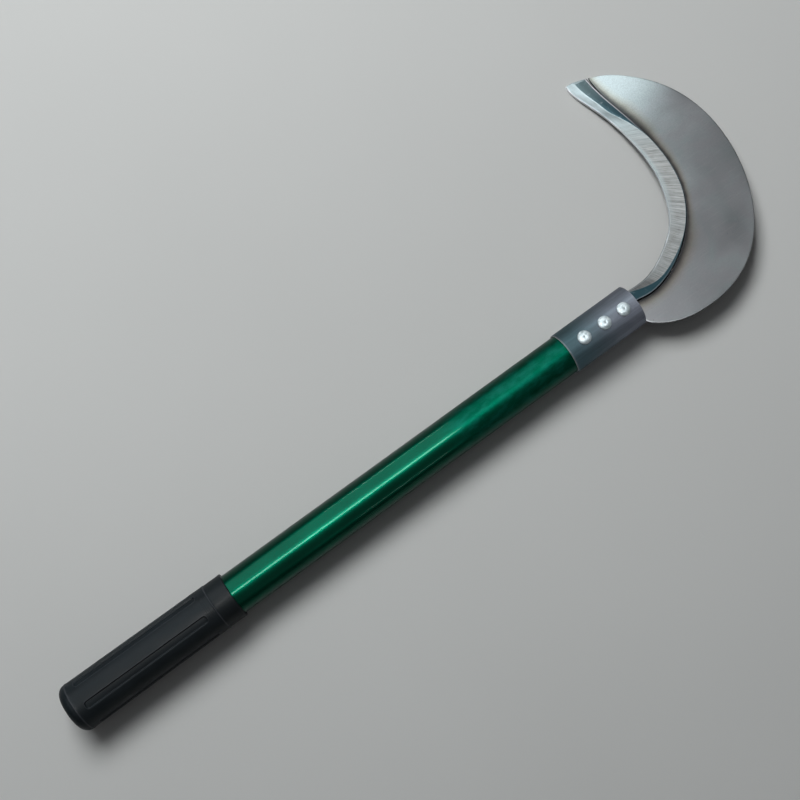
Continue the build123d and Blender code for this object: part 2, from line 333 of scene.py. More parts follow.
class Look:
    """A node material with one Principled shader, and short calls for the nodes before it."""

    def __init__(self, name, **settings):
        self.material = bpy.data.materials.new(name)
        self.material.use_nodes = True
        self.tree = self.material.node_tree
        self.tree.nodes.clear()
        self.shader = self.node("BsdfPrincipled")
        self.node("OutputMaterial", {"Surface": self.shader.outputs[0]})
        self.drive(**settings)

    def node(self, kind, inputs=None, **settings):
        """New node with its settings made and its inputs linked or set."""
        node = self.tree.nodes.new("ShaderNode" + kind)
        for key, value in settings.items():
            setattr(node, key, value)
        for key, value in (inputs or {}).items():
            self.put(node.inputs[key], value)
        return node

    def put(self, socket, value):
        """Links a socket to another one, or gives it a number or a colour."""
        if isinstance(value, bpy.types.NodeSocket):
            self.tree.links.new(value, socket)
        elif socket.type == "RGBA":
            socket.default_value = (*value, 1.0)
        else:
            socket.default_value = value

    def drive(self, **sockets):
        """Links or sets the shader's sockets."""
        for key, value in sockets.items():
            self.put(self.shader.inputs[key.replace("_", " ").title().replace("Ior", "IOR")], value)

    def value(self, name):
        """Number kept with the mesh's points."""
        return self.node("Attribute", attribute_name=name).outputs["Fac"]

    def place(self, stretch=(1, 1, 1), name="tool"):
        """Tool coordinates in millimetres, or another kept vector, scaled along each direction."""
        kept = self.node("Attribute", attribute_name=name).outputs["Vector"]
        return self.node("VectorMath", {0: kept, 1: stretch}, operation="MULTIPLY").outputs[0]

    def part(self, name, axis):
        """One coordinate of a kept vector."""
        return self.node("SeparateXYZ", {0: self.place(name=name)}).outputs[axis]

    def object_place(self):
        """Coordinates of the object itself in metres, for meshes without kept values."""
        return self.node("TexCoord").outputs["Object"]

    def noise(self, place, scale=1.0, detail=3.0, rough=0.55, twist=0.0):
        shape = {"Scale": scale, "Detail": detail, "Roughness": rough, "Distortion": twist}
        return self.node("TexNoise", {"Vector": place, **shape}).outputs["Fac"]

    def cells(self, place, scale=1.0, output="Distance"):
        return self.node("TexVoronoi", {"Vector": place, "Scale": scale}).outputs[output]

    def map(self, value, low, high, to_low=0.0, to_high=1.0, smooth=False):
        """Value carried from one range to another, held at the ends."""
        ends = {"From Min": low, "From Max": high, "To Min": to_low, "To Max": to_high}
        kind = "SMOOTHSTEP" if smooth else "LINEAR"
        return self.node("MapRange", {"Value": value, **ends}, interpolation_type=kind).outputs[0]

    def math(self, operation, a, b):
        return self.node("Math", {0: a, 1: b}, operation=operation).outputs[0]

    def times(self, a, b):
        return self.math("MULTIPLY", a, b)

    def ramp(self, value, stops):
        node = self.node("ValToRGB", {0: value})
        elements = node.color_ramp.elements
        while len(elements) < len(stops):
            elements.new(1.0)
        for element, (position, colour) in zip(elements, stops):
            element.position = position
            element.color = (*colour, 1.0)
        return node.outputs[0]

    def mix(self, factor, a, b, mode="MIX"):
        return self.node("Mix", {0: factor, 6: a, 7: b}, data_type="RGBA", blend_type=mode).outputs[2]

    def bumps(self, *layers):
        """Bumps laid on each other, each a height from 0 to 1, a depth in millimetres and a strength."""
        below = {}
        for height, depth, strength in layers:
            inputs = {"Strength": strength, "Distance": depth * MM, "Height": height}
            below = {"Normal": self.node("Bump", {**inputs, **below}).outputs[0]}
        return below["Normal"]


def plate_look():
    """Satin sheet steel: cloudy greys, rolling lines, a border of burn and painted shade at the joint, a
    painted reflection towards the tip, and rubbed edges.
    """
    dark, light = (0.135, 0.146, 0.152), (0.172, 0.184, 0.191)
    violet, green, glare_blue = (0.158, 0.157, 0.166), (0.148, 0.172, 0.176), (0.49, 0.58, 0.60)
    pits, lines = (0.115, 0.123, 0.128), (0.25, 0.262, 0.268)
    rust, bare = (0.05, 0.045, 0.04), (0.34, 0.36, 0.375)
    look = Look("plate_steel", metallic=1.0)
    place = look.place()
    clouds = look.noise(place, 0.022, 4, 0.5, 0.6)
    grain = look.noise(place, 1.3, 4, 0.65)
    fine = look.noise(place, 5.0, 2, 0.5)
    rolled = look.noise(look.place((0.06, 1.6, 1.0)), 1.0, 4, 0.6)
    hue = look.noise(place, 0.05, 3, 0.6, 0.8)
    steel = look.ramp(clouds, [(0.3, dark), (0.7, light)])
    steel = look.mix(look.map(hue, 0.42, 0.62, 0.0, 0.6, smooth=True), steel, violet)
    steel = look.mix(look.map(hue, 0.46, 0.32, 0.0, 0.6, smooth=True), steel, green)
    # Paler towards the tip: painted reflection of the soft light.
    pale = look.math("ADD", look.value("pale"), look.map(clouds, 0.3, 0.7, -0.12, 0.12))
    steel = look.mix(look.map(pale, 0.05, 1.0, smooth=True), steel, glare_blue)
    steel = look.mix(look.map(grain, 0.35, 0.7, 0.0, 0.35), steel, pits)
    steel = look.mix(look.map(rolled, 0.55, 0.75, 0.0, 0.25), steel, lines)
    # Darker beside the joint: partly burn tint, partly painted shade of the strip's raised step.
    ragged = look.map(look.noise(place, 0.22, 3, 0.6), 0.0, 1.0, -0.6, 0.6)
    reach = look.times(look.math("ADD", look.value("from_joint"), ragged), look.value("soot_and_shade"))
    burn_and_shade = look.ramp(look.map(reach, 0.0, BURN_AND_SHADE_REACH), BURN_AND_SHADE_BORDER)
    steel = look.mix(1.0, steel, burn_and_shade, "MULTIPLY")
    spots = look.map(look.cells(place, 0.33), 0.07, 0.13, 1.0, 0.0)
    steel = look.mix(look.times(spots, look.value("spots")), steel, rust)
    worn = look.times(look.value("edge"), look.map(grain, 0.4, 0.7, 0.1, 0.8))
    steel = look.mix(worn, steel, bare)
    rough = look.math("ADD", look.map(clouds, 0.3, 0.7, 0.31, 0.40), look.map(grain, 0.3, 0.7, -0.04, 0.05))
    normal = look.bumps((grain, 0.035, 0.5), (fine, 0.012, 0.5), (rolled, 0.02, 0.4))
    look.drive(base_color=steel, roughness=rough, normal=normal)
    return look.material


def bevel_colour(look, along, across, cuts):
    """Cross-ground steel, polished towards the tip and beside the edge, with a painted highlight near the
    tip. Also how polished it is.
    """
    polished, tip_glare, dull = (0.235, 0.29, 0.305), (0.50, 0.60, 0.63), (0.20, 0.215, 0.22)
    ground = look.ramp(cuts, [
        (0.34, (0.075, 0.077, 0.077)), (0.44, (0.128, 0.132, 0.130)), (0.55, (0.168, 0.173, 0.172)),
        (0.66, (0.26, 0.27, 0.27)),
    ])
    tipward = look.map(along, 30.0, 70.0, 0.75, 0.0, smooth=True)
    beside_edge = look.map(across, 4.5, 1.0, 0.0, 0.6, smooth=True)
    beside_edge = look.times(beside_edge, look.map(along, 80.0, 120.0, 1.0, 0.1))
    plain = look.math("MAXIMUM", beside_edge, tipward)
    ground = look.mix(plain, ground, polished)
    # Lighter still near the tip: painted highlight, making up for the steep bevel that turns away from the
    # light.
    far_tip = look.map(along, 25.0, 48.0, 0.75, 0.0, smooth=True)
    tip = look.times(far_tip, look.map(along, 0.0, 12.0, 0.55, 1.0))
    ground = look.mix(tip, ground, tip_glare)
    passes = look.noise(look.place((0.16, 0.05, 1.0), "grain"), 1.0, 3, 0.5)
    return look.mix(look.map(passes, 0.35, 0.65, 0.0, 0.35), ground, dull), plain


def scale_colour(look, place, along, clouds):
    """Forged scale: teal at the tip, blue-black at the neck, with pale flecks, and dark on the walls: dark
    scale with painted shade.
    """
    teal, neck_blue, fleck = (0.075, 0.105, 0.112), (0.014, 0.032, 0.040), (0.16, 0.19, 0.20)
    tip_soot_and_shade, soot_and_shade = (0.050, 0.048, 0.048), (0.012, 0.011, 0.013)
    scale = look.ramp(clouds, [(0.3, (0.018, 0.036, 0.046)), (0.7, (0.036, 0.068, 0.080))])
    scale = look.mix(look.map(along, 8.0, 28.0, 0.8, 0.0, smooth=True), scale, teal)
    scale = look.mix(look.map(along, 125.0, 150.0, 0.0, 0.9, smooth=True), scale, neck_blue)
    flecks = look.map(look.noise(place, 0.35, 4, 0.7), 0.58, 0.70)
    flecks = look.times(flecks, look.map(along, 20.0, 40.0, 1.0, 0.25))
    scale = look.mix(flecks, scale, fleck)
    # The walls go near black, a little lighter at the tip: dark scale with painted shade.
    wall_soot_and_shade = look.mix(look.map(along, 12.0, 26.0, smooth=True), tip_soot_and_shade, soot_and_shade)
    return look.mix(look.value("wall"), scale, wall_soot_and_shade)


def strip_look():
    """Tool steel with a ground bevel and a honed edge, left in its forged scale on top, with painted
    highlights on the rounded back edge and honed edge, and painted shade on the walls.
    """
    rim, honed = (0.47, 0.46, 0.49), (0.80, 0.82, 0.84)
    look = Look("strip_steel", metallic=1.0)
    place = look.place()
    along, across = look.part("grain", 0), look.part("grain", 1)
    cuts = look.noise(look.place((2.9, 0.05, 0.0), "grain"), 1.0, 3, 0.75, 0.0)
    scratches = look.noise(look.place((5.0, 0.12, 0.0), "grain"), 1.0, 2, 0.5)
    clouds = look.noise(place, 0.12, 3, 0.5)
    ground, plain = bevel_colour(look, along, across, cuts)
    colour = look.mix(look.value("ground"), scale_colour(look, place, along, clouds), ground)
    # The rounded back edge is lighter: painted highlight.
    colour = look.mix(look.value("rim"), colour, rim)
    # The honed edge is lighter steel, with a painted highlight fading away from the tip.
    colour = look.mix(look.value("honed"), colour, honed)
    rough = look.mix(look.value("ground"), look.map(clouds, 0.3, 0.7, 0.34, 0.46),
                     look.map(cuts, 0.35, 0.65, 0.58, 0.46))
    depth = look.math("ADD", cuts, look.times(scratches, 0.4))
    depth = look.times(depth, look.map(plain, 0.0, 0.75, 1.0, 0.15))
    depth = look.times(depth, look.value("ground"))
    normal = look.bumps((depth, 0.015, 0.7), (look.noise(place, 2.2, 3, 0.6), 0.02, 0.5))
    look.drive(base_color=colour, roughness=rough, normal=normal)
    return look.material


def sleeve_look():
    """Drawn steel with lengthwise streaks, painted shade towards the tube, a painted reflection paling it
    towards the mouth, and painted light evening out its two sides.
    """
    streak, band, bare = (0.17, 0.185, 0.205), (0.20, 0.225, 0.245), (0.42, 0.43, 0.45)
    painted_dim_tint, painted_fill_tint = (0.86, 0.92, 0.96), (1.06, 1.12, 1.20)
    painted_shade_tint, painted_glare_tint = (0.52, 0.76, 0.76), (1.35, 1.30, 1.34)
    look = Look("sleeve_steel", metallic=1.0)
    place = look.place()
    drawn = look.noise(look.place((0.03, 0.75, 0.75)), 1.0, 5, 0.6)
    bands = look.noise(look.place((0.012, 0.22, 0.22)), 1.0, 3, 0.5)
    grain = look.noise(place, 1.8, 4, 0.6)
    clouds = look.noise(place, 0.07, 3, 0.5)
    steel = look.ramp(clouds, [(0.3, (0.084, 0.092, 0.101)), (0.7, (0.120, 0.123, 0.136))])
    steel = look.mix(look.map(drawn, 0.45, 0.7, 0.0, 0.45), steel, streak)
    steel = look.mix(look.map(bands, 0.5, 0.68, 0.0, 0.4), steel, band)
    # Lighter and bluer on the side away from the tip, dimmer on the tip's side: painted light evening out
    # the shading.
    steel = look.mix(1.0, steel, look.mix(look.value("lower"), painted_dim_tint, painted_fill_tint), "MULTIPLY")
    # Darker towards the tube and paler towards the mouth: painted shade and painted reflection.
    steel = look.mix(1.0, steel, look.mix(look.value("mouthward"), painted_shade_tint, painted_glare_tint), "MULTIPLY")
    steel = look.mix(look.value("edge"), steel, bare)
    rough = look.math("ADD", look.map(drawn, 0.3, 0.7, 0.52, 0.66), look.map(grain, 0.3, 0.7, -0.03, 0.05))
    normal = look.bumps((drawn, 0.03, 0.5), (grain, 0.02, 0.5))
    look.drive(base_color=steel, roughness=rough, normal=normal)
    return look.material


def paint_look():
    """Metallic green paint under a thin gloss, both hazy and mottled on the sleeve's half of the tube."""
    coat_weight, haze_start, haze_full = 0.09, 255.0, 275.0
    deep, light = (0.0, 0.028, 0.0155), (0.0, 0.039, 0.0215)
    flake, cloud = (0.0, 0.112, 0.064), (0.004, 0.105, 0.080)
    look = Look("tube_paint", metallic=1.0, coat_roughness=0.03, coat_ior=1.5)
    place = look.place()
    flakes = look.cells(place, 3.2, "Color")
    glint = look.math("POWER", look.noise(place, 6.0, 2, 0.7), 2.0)
    clouds = look.noise(place, 0.05, 3, 0.5)
    haze = look.map(look.part("tool", 0), haze_start, haze_full, smooth=True)
    mottle = look.noise(look.place((0.12, 0.3, 0.3)), 1.0, 4, 0.65)
    green = look.ramp(clouds, [(0.3, deep), (0.7, light)])
    green = look.mix(look.map(glint, 0.15, 0.5, 0.0, 0.5), green, flake)
    cloudy = look.times(haze, look.map(mottle, 0.42, 0.7, 0.0, 0.45))
    green = look.mix(cloudy, green, cloud)
    rough = look.math("ADD", 0.29, look.times(haze, look.map(mottle, 0.3, 0.7, 0.02, 0.18)))
    dulled = look.times(haze, look.map(mottle, 0.3, 0.65, 0.085, 0.055))
    coat = look.math("SUBTRACT", coat_weight, dulled)
    normal = look.bumps((flakes, 0.02, 0.3))
    wave = look.bumps((look.noise(place, 0.5, 3, 0.5), 0.02, 0.5))
    look.drive(base_color=green, roughness=rough, normal=normal, coat_weight=coat, coat_normal=wave)
    return look.material


def rubber_look():
    """Moulded rubber with a fine skin, greyer where it stands proud: a painted highlight on the rings and
    groove lips.
    """
    worn, proud, collar = (0.020, 0.025, 0.030), (0.040, 0.045, 0.052), (0.003, 0.006, 0.008)
    look = Look("grip_rubber", specular_ior_level=0.17)
    place = look.place()
    skin = look.noise(place, 2.4, 5, 0.7)
    fine = look.noise(place, 7.0, 2, 0.6)
    rubbed = look.noise(look.place((0.05, 0.2, 0.2)), 1.0, 4, 0.6)
    black = look.ramp(rubbed, [(0.3, (0.0020, 0.0048, 0.0070)), (0.7, (0.0050, 0.0095, 0.0125))])
    black = look.mix(look.map(skin, 0.55, 0.8, 0.0, 0.5), black, worn)
    # Greyer rings and groove lips: painted highlight.
    black = look.mix(look.value("proud"), black, proud)
    black = look.mix(look.value("collar"), black, collar)
    rough = look.math("ADD", look.map(rubbed, 0.3, 0.7, 0.40, 0.54), look.map(skin, 0.3, 0.7, -0.06, 0.08))
    normal = look.bumps((skin, 0.05, 0.5), (fine, 0.02, 0.4))
    look.drive(base_color=black, roughness=rough, normal=normal)
    return look.material


def rivet_look():
    """Aluminium as set, unevenly pressed, with painted shade in the bore, at the middle and under the rim.
    """
    look = Look("rivet_aluminium", metallic=0.3)
    place = look.place()
    dents = look.noise(place, 0.55, 2, 0.5)
    grain = look.noise(place, 4.0, 3, 0.6)
    metal = look.ramp(dents, [(0.38, (0.48, 0.57, 0.60)), (0.62, (0.78, 0.87, 0.91))])
    # Near black in the bore, at the middle and under the rim: painted shade.
    metal = look.mix(look.value("deep"), metal, (0.10, 0.10, 0.10))
    rough = look.map(grain, 0.3, 0.7, 0.36, 0.52)
    normal = look.bumps((dents, 0.4, 0.6), (grain, 0.02, 0.5))
    look.drive(base_color=metal, roughness=rough, normal=normal)
    return look.material


def weld_look():
    """Lumpy bead with brown and blue heat tints."""
    look = Look("weld_metal", metallic=1.0)
    place = look.place()
    lumps = look.noise(place, 0.8, 4, 0.6)
    tint = look.ramp(look.noise(place, 0.25, 3, 0.6), [
        (0.3, (0.11, 0.08, 0.06)), (0.5, (0.20, 0.19, 0.18)), (0.7, (0.12, 0.14, 0.19)),
    ])
    metal = look.mix(look.map(lumps, 0.5, 0.75, 0.0, 0.7), tint, (0.36, 0.35, 0.34))
    normal = look.bumps((lumps, 0.15, 0.8))
    look.drive(base_color=metal, roughness=look.map(lumps, 0.3, 0.7, 0.35, 0.6), normal=normal)
    return look.material


def pin_look():
    """Torn steel of a broken mandrel, for pieces that keep their CAD mesh."""
    look = Look("mandrel_steel", metallic=1.0)
    torn = look.noise(look.object_place(), 900.0, 4, 0.7)
    metal = look.ramp(torn, [(0.3, (0.10, 0.10, 0.11)), (0.7, (0.30, 0.30, 0.31))])
    normal = look.bumps((torn, 0.1, 0.7))
    look.drive(base_color=metal, roughness=look.map(torn, 0.3, 0.7, 0.4, 0.6), normal=normal)
    return look.material


# ---------- handle


def even_angles(count):
    return np.arange(count) * 2 * pi / count


def make_tube():
    """Painted tube, its ends inside the grip and the sleeve."""
    edge = 0.12
    start, end, wide = TUBE_START, TUBE_END, TUBE_RADIUS
    corners = [
        (start + edge, wide), (end - edge, wide), (end, wide - edge), (end, TUBE_BORE), (start, TUBE_BORE),
        (start, wide - edge), (start + edge, wide),
    ]
    profile = subdivided(corners, 6.0)[:-1]
    x, radius, turn, faces = lathe(profile, even_angles(144), True)
    return make_piece("handle_tube_painted", turned(x, radius, turn), faces, paint_look(),
                      ["handle_tube"])


def make_sleeve():
    """Rolled sleeve, its cut ends broken and its wall drawn in a little round each rivet."""
    edge, skin, dip_depth, dip_reach = 0.16, 0.3, 0.05, 5.0
    start, end, wide, bore = SLEEVE_START, SLEEVE_END, SLEEVE_RADIUS, SLEEVE_BORE
    corners = [
        (start + edge, wide), (end - edge, wide), (end, wide - edge), (end, bore + edge),
        (end - edge, bore), (start + edge, bore), (start, bore + edge), (start, wide - edge),
        (start + edge, wide),
    ]
    profile = subdivided(corners, 0.8)[:-1]
    x, radius, turn, faces = lathe(profile, even_angles(180), True)
    dip = np.zeros(len(x))
    away = np.angle(np.exp(1j * (turn - radians(RIVET_TURN)))) * SLEEVE_RADIUS
    for station in RIVET_STATIONS:
        dip += dip_depth * np.exp(-((x - station) ** 2 + away**2) / dip_reach**2)
    near_end = 1 - smooth_step(0.06, 0.22, np.minimum(x - start, end - x))
    cut = near_end * (0.25 + 0.75 * (x < start + 1))
    outer = radius > wide - skin
    # mouthward and lower steer the sleeve's painted light; edge marks the bare cut ends.
    values = {
        "edge": cut, "mouthward": smooth_step(start + 2, start + 48, x),
        "lower": smooth_step(-0.1, 0.5, np.sin(turn)),
    }
    return make_piece("socket_sleeve_rolled", turned(x, radius - dip * outer, turn), faces, sleeve_look(),
                      ["socket_sleeve"], values)


def rivet_profile():
    """Half section of a rivet as set, as (radius, height): bore, head, shank and swollen far end."""
    bore, top, rim = RIVET_BORE, RIVET_HEIGHT, RIVET_RADIUS
    mouth = [(bore + 0.02, -5.9), (bore, -2.5), (bore, 0.5), (0.85, 0.85), (0.45, 1.0), (0.2, 1.18)]
    head = [
        (0.3, 1.27), (0.75, top - 0.06), (1.2, top - 0.01), (1.7, top - 0.03), (2.1, 1.34), (2.6, 1.26),
        (3.1, 1.14), (3.6, 0.98), (3.9, 0.81), (4.08, 0.62), (rim, 0.4), (rim, 0.1), (4.14, 0.03),
    ]
    seat = [(4.0, 0.0), (3.0, 0.0), (2.2, 0.0), (2.0, -0.1), (2.0, -2.4)]
    far_end = [
        (2.5, -2.7), (3.0, -3.3), (3.05, -3.8), (2.7, -4.8), (2.2, -5.6), (2.0, -5.95), (1.5, -6.0),
    ]
    return np.array(mouth + head + seat + far_end)


def make_rivet(number, station, material):
    """Domed head, a little crooked, that follows the sleeve's round, with the pulled bore inside."""
    crooked, slip = 0.05, 0.28
    lean = np.random.default_rng(SEED + number).uniform(0, 2 * pi)
    flat_height, radius, turn, faces = lathe(rivet_profile()[:, ::-1], even_angles(72), True)
    head = flat_height > -0.05
    height = flat_height - head * smooth_step(1.5, 4.0, radius) * crooked * (1 + np.cos(turn - lean))
    shift = slip * (height > 0.95) * (1 - smooth_step(0.6, 2.6, radius))
    across = radius * np.cos(turn) + shift * cos(lean)
    side = radius * np.sin(turn) + shift * sin(lean)
    seat = np.sqrt(SLEEVE_RADIUS**2 - np.minimum(side, RIVET_RADIUS) ** 2) - SLEEVE_RADIUS
    height = height + head * smooth_step(2.0, 3.6, radius) * seat
    roll = radians(RIVET_TURN)
    out = SLEEVE_RADIUS + height
    points = np.stack([
        station + across,
        side * cos(roll) - out * sin(roll),
        side * sin(roll) + out * cos(roll),
    ], axis=1)
    # Where the painted shade goes: the middle, the bore and under the head's rim.
    lip = 0.5 * (1 - smooth_step(0.2, 0.3, radius))
    bore = (height < 1.05) * (radius < 1.2)
    shade_under_rim = (radius > 4.05) * (flat_height < 0.45)
    node = f"rivet_{number}"
    return make_piece(node + "_set", points, faces, material, [node],
                      {"deep": lip + bore + shade_under_rim}, sharp=50.0)


# ---------- grip


def grip_profile():
    """Outside and inside of the moulded grip as (x, radius), from the middle of the butt."""
    butt, neck, ridge_x, mouth = GRIP_BUTT_RADIUS, GRIP_NECK_RADIUS, COLLAR_START, GRIP_LENGTH
    groove_end = GROOVE_START + GROOVE_LENGTH
    coarse, fine = 1.2, 0.16
    flat = butt - GRIP_DOME
    dome = arc((GRIP_DOME, flat), GRIP_DOME, 180, 90, 16)
    ring = GRIP_DOME + 0.5
    body = [
        (ring - 0.2, butt + 0.12), (ring, butt + GRIP_LIP - 0.02), (ring + 0.3, butt + GRIP_LIP - 0.02),
        (ring + 0.55, butt + 0.08), (ring + 0.9, butt - 0.01),
    ]
    before = subdivided([body[-1], (GROOVE_START - 0.6, 14.68)], coarse)
    groove_in = subdivided([(GROOVE_START - 0.6, 14.68), (GROOVE_START + 2.6, 14.665)], fine)
    middle = subdivided([(GROOVE_START + 2.6, 14.665), (groove_end - 2.6, 14.29)], 1.6)
    groove_out = subdivided([middle[-1], (groove_end + 0.6, 14.28)], fine)
    ribs = subdivided([groove_out[-1], (ridge_x - 0.8, neck)], fine)
    ridge = [
        (ridge_x - 0.5, neck - 0.02), (ridge_x - 0.3, neck + 0.08), (ridge_x - 0.12, neck + 0.18),
        (ridge_x + 0.12, neck + 0.18), (ridge_x + 0.3, neck + 0.05), (ridge_x + 0.55, COLLAR_RADIUS - 0.05),
        (ridge_x + 1.0, COLLAR_RADIUS - 0.04),
    ]
    collar = subdivided([ridge[-1], (mouth - 2.2, COLLAR_RADIUS - 0.04)], coarse)
    lip = [
        (mouth - 1.4, COLLAR_RADIUS), (mouth - 0.5, COLLAR_RADIUS), (mouth - 0.15, COLLAR_RADIUS - 0.12),
        (mouth, COLLAR_RADIUS - 0.4), (mouth, COLLAR_RADIUS - 0.8), (mouth - 0.1, TUBE_RADIUS + 0.2),
        (mouth - 0.5, TUBE_RADIUS + 0.05),
    ]
    bore = subdivided([lip[-1], (TUBE_START - 0.05, TUBE_RADIUS + 0.05)], 12.0)[1:]
    return np.array([
        (0.0, 0.0), (0.0, flat * 0.5), *dome, *body, *before[1:], *groove_in[1:], *middle[1:],
        *groove_out[1:], *ribs[1:], *ridge, *collar[1:], *lip, *bore, (TUBE_START - 0.05, 0.0),
    ])


def grip_angles():
    """Turns round the grip, close together at the long edges of the grooves."""
    half = np.degrees(GROOVE_WIDTH / 2 / GRIP_BUTT_RADIUS)
    fine = np.arange(-2.6, 1.0, 0.36)
    turns = []
    for centre in GROOVE_TURNS:
        turns += list(centre - half - fine) + list(centre + half + fine)
        turns += list(centre + np.arange(-6.0, 6.1, 2.0))
        turns += list(centre + 30 + np.arange(-18.0, 18.1, 2.4))
    return np.radians(np.unique(np.round(np.mod(turns, 360), 3)))


def groove_distance(x, turn):
    """Distance from the outline of the nearest groove, negative inside it."""
    spacing = 2 * pi / len(GROOVE_TURNS)
    away = (turn - radians(GROOVE_TURNS[0]) + spacing / 2) % spacing - spacing / 2
    middle = GROOVE_START + GROOVE_LENGTH / 2
    a = np.abs(x - middle) - (GROOVE_LENGTH / 2 - GROOVE_CORNER)
    b = np.abs(away) * 14.5 - (GROOVE_WIDTH / 2 - GROOVE_CORNER)
    corner = np.hypot(np.maximum(a, 0), np.maximum(b, 0))
    return corner + np.minimum(np.maximum(a, b), 0) - GROOVE_CORNER


def make_grip():
    """Moulded grip with sunk grooves, fine ribs and a ridge before the collar, and an uneven skin."""
    skin_wave, rib_depth, rib_pitch, groove_lip = 0.03, 0.06, 1.15, 0.03
    profile = grip_profile()
    x, radius, turn, faces = lathe(profile, grip_angles(), False)
    outer = (radius > 13.6).astype(float)
    away = groove_distance(x, turn)
    sunk = 1 - smooth_step(-0.55, -0.05, away)
    lip = np.exp(-((away - 0.12) / 0.22) ** 2)
    ribs = 0.5 + 0.5 * np.cos((x - 93.0) * 2 * pi / rib_pitch)
    ribs *= smooth_step(92.3, 92.9, x) * (1 - smooth_step(96.0, 96.8, x))
    ribs *= smooth_step(-0.2, 0.5, np.cos(turn + radians(35)))
    points = turned(x, radius, turn)
    skin = waves(points, 1, 16.0) * skin_wave - skin_wave
    body = smooth_step(6.5, 8.0, x)
    raised = body * skin + groove_lip * lip * body
    change = outer * (-sunk * (GROOVE_DEPTH - 0.1) - rib_depth * ribs + raised)
    ring = np.exp(-((x - GRIP_DOME - 0.65) / 0.3) ** 2) + np.exp(-((x - COLLAR_START) / 0.3) ** 2)
    # Painted highlight on the raised rings and the groove lips.
    proud = outer * np.clip(ring + 0.45 * lip, 0, 1)
    collar = smooth_step(COLLAR_START + 0.3, COLLAR_START + 1.0, x)
    points = turned(x, radius + change, turn)
    return make_piece("grip_moulded", points, faces, rubber_look(), ["grip"],
                      {"proud": proud, "collar": collar}, sharp=60.0)


# ---------- blade


def strip_stations():
    """Parameters of the strip's sections, close together at the tip."""
    return np.concatenate([np.linspace(0, 0.03, 36)[:-1], np.linspace(0.03, 1.0, 330)])


def strip_section(width, heel, drop, roll):
    """Section of the strip as (across, height, ground, rim, honed, wall), round from the underside.

    The bevel runs from the honed edge up to the heel. Drop is how far it falls, and roll is the radius
    of the rounded back edge. The last four values say how far each holds: ground bevel, the rim's painted
    highlight, honed edge and the wall's painted shade.
    """
    slope = drop / heel
    hone = min(HONE_WIDTH, 0.35 * heel + 0.05)
    start = UNDERSIDE + max(0.07, STRIP_THICKNESS - drop - HONE_DEPTH)
    join = STRIP_TOP - drop + hone * slope
    spare = width - heel
    soft = min(0.3, 0.15 * spare)
    roll = min(roll, 0.78 * spare)
    section = [
        (0.10, UNDERSIDE, 0, 0, 0, 1), (0.0, UNDERSIDE + 0.05, 0, 0, 0.5, 1), (0.0, start, 0, 0, 1, 0),
        (0.5 * hone, (start + join) / 2, 0, 0, 1, 0), (hone, join, 0.3, 0, 1, 0),
        (hone + HONE_FADE, join + HONE_FADE * slope, 1, 0, 0, 0),
    ]
    for part in (0.12, 0.25, 0.4, 0.55, 0.7, 0.85):
        across = hone + HONE_FADE + (heel - soft - hone - HONE_FADE) * part
        section.append((across, STRIP_TOP - drop + across * slope, 1, 0, 0, 0))
    flat_end = width - roll
    level = flat_end - heel - soft
    section += [
        (heel - soft, STRIP_TOP - soft * slope, 1, 0, 0, 0),
        (heel, STRIP_TOP - 0.3 * soft * slope, 0.8, 0, 0, 0), (heel + soft, STRIP_TOP, 0, 0, 0, 0),
        (heel + soft + 0.45 * level, STRIP_TOP, 0, 0, 0, 0),
        (flat_end - min(0.6, 0.6 * level), STRIP_TOP, 0, 0, 0, 0),
        (flat_end - RIM_BAND * min(1, level), STRIP_TOP, 0, 1, 0, 0), (flat_end, STRIP_TOP, 0, 1, 0, 0),
    ]
    for angle, rim, wall in ((20, 0.8, 0.1), (38, 0.2, 0.6), (56, 0, 1), (74, 0, 1), (90, 0, 1)):
        out, down = sin(radians(angle)), 1 - cos(radians(angle))
        section.append((flat_end + roll * out, STRIP_TOP - roll * down, 0, rim, 0, wall))
    section += [
        (width, 0.4, 0, 0, 0, 1), (width, UNDERSIDE + 0.15, 0, 0, 0, 1),
        (width - 0.15, UNDERSIDE, 0, 0, 0, 1), (width * 0.66, UNDERSIDE, 0, 0, 0, 1),
        (width * 0.33, UNDERSIDE, 0, 0, 0, 1),
    ]
    return section


def round_tip(across, inward, width):
    """Section points drawn back from the edge, so that the tip ends in a small round corner."""
    spare = np.clip(TIP_CORNER - inward, 0, TIP_CORNER)
    lost = TIP_CORNER - np.sqrt(TIP_CORNER**2 - spare**2)
    return lost + across * (1 - lost / width[:, None])


def tip_facet(across, inward, width):
    """Depth of the small facet ground across the end of the tip, wider at the edge than at the back."""
    reach = np.interp(across / width[:, None], [0.0, 0.4, 1.0], [2.6, 1.9, 0.5])
    return np.clip(reach - inward, 0, None) * 0.32


